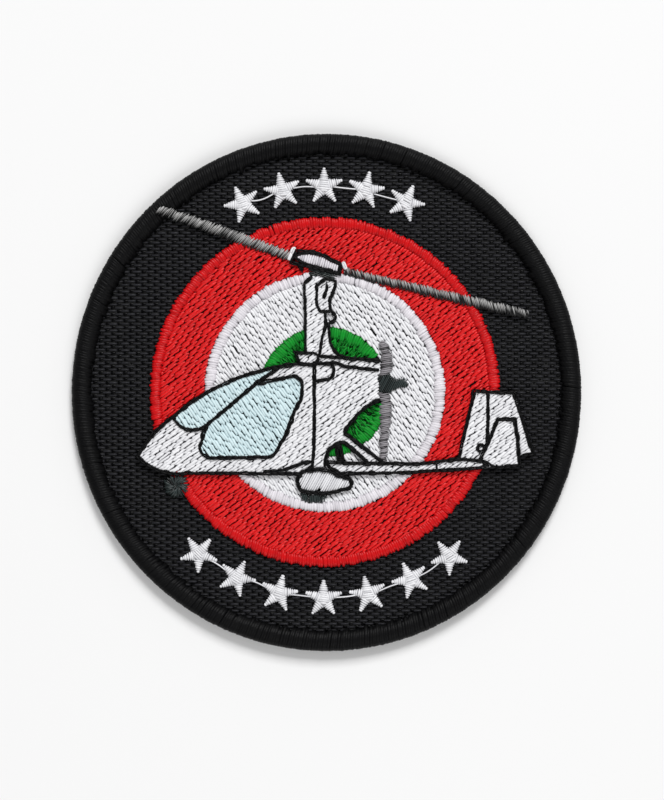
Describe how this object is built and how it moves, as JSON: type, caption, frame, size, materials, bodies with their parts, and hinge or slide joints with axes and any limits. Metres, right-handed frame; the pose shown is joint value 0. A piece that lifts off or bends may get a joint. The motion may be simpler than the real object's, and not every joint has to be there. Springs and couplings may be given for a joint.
{
  "type": "embroidered patch",
  "caption": "Round embroidered cloth patch with a merrowed border, a red, white and green roundel, a stitched gyrocopter and rows of small satin stars.",
  "frame": {"origin": "centre of the patch, on the surface it lies on", "axes": "+Z out of the embroidered face, +Y towards the top of the picture, +X to its right"},
  "size_m": [0.079, 0.0802, 0.0026],
  "materials": {
    "film": "satin",
    "backing": "non-woven",
    "ground": "plain weave",
    "border_thread": "merrowed thread",
    "red_thread": "trilobal polyester thread",
    "white_thread": "trilobal polyester thread",
    "green_thread": "trilobal polyester thread",
    "pale_blue_thread": "trilobal polyester thread",
    "grey_thread": "trilobal polyester thread",
    "dark_grey_thread": "trilobal polyester thread",
    "black_thread": "trilobal polyester thread"
  },
  "bodies": {
    "root": {"body": "white_thread", "boom_strut": "white_thread", "engine_cowl": "white_thread", "fin_far": "white_thread", "fin_near": "white_thread", "ground_cloth": "ground", "heat_seal_film": "film", "hub_bar": "white_thread", "hub_block": "dark_grey_thread", "hub_caps": "white_thread", "main_wheel": "dark_grey_thread", "mast": "white_thread", "mast_foot": "white_thread", "mast_head": "white_thread", "merrowed_border": "border_thread", "nose_wheel": "dark_grey_thread", "outline_body": "black_thread", "outline_boom": "black_thread", "outline_cowl": "black_thread", "outline_fairing": "black_thread", "outline_fins": "black_thread", "outline_hub": "black_thread", "outline_mast": "black_thread", "outline_side_window": "black_thread", "outline_strut": "black_thread", "outline_windscreen": "black_thread", "propeller_blade_lower": "grey_thread", "propeller_blade_upper": "grey_thread", "propeller_spinner": "dark_grey_thread", "rotor_blade_left": "grey_thread", "rotor_blade_right": "grey_thread", "roundel_green_edge": "green_thread", "roundel_green_fill": "green_thread", "roundel_red_edge": "red_thread", "roundel_red_fill": "red_thread", "roundel_white_edge": "white_thread", "roundel_white_fill": "white_thread", "rudder": "white_thread", "side_window": "pale_blue_thread", "stabiliser": "backing", "stars_bottom": "white_thread", "stars_top": "white_thread", "tail_boom": "white_thread", "wheel_fairing": "white_thread", "windscreen": "pale_blue_thread"}
  },
  "joints": []
}
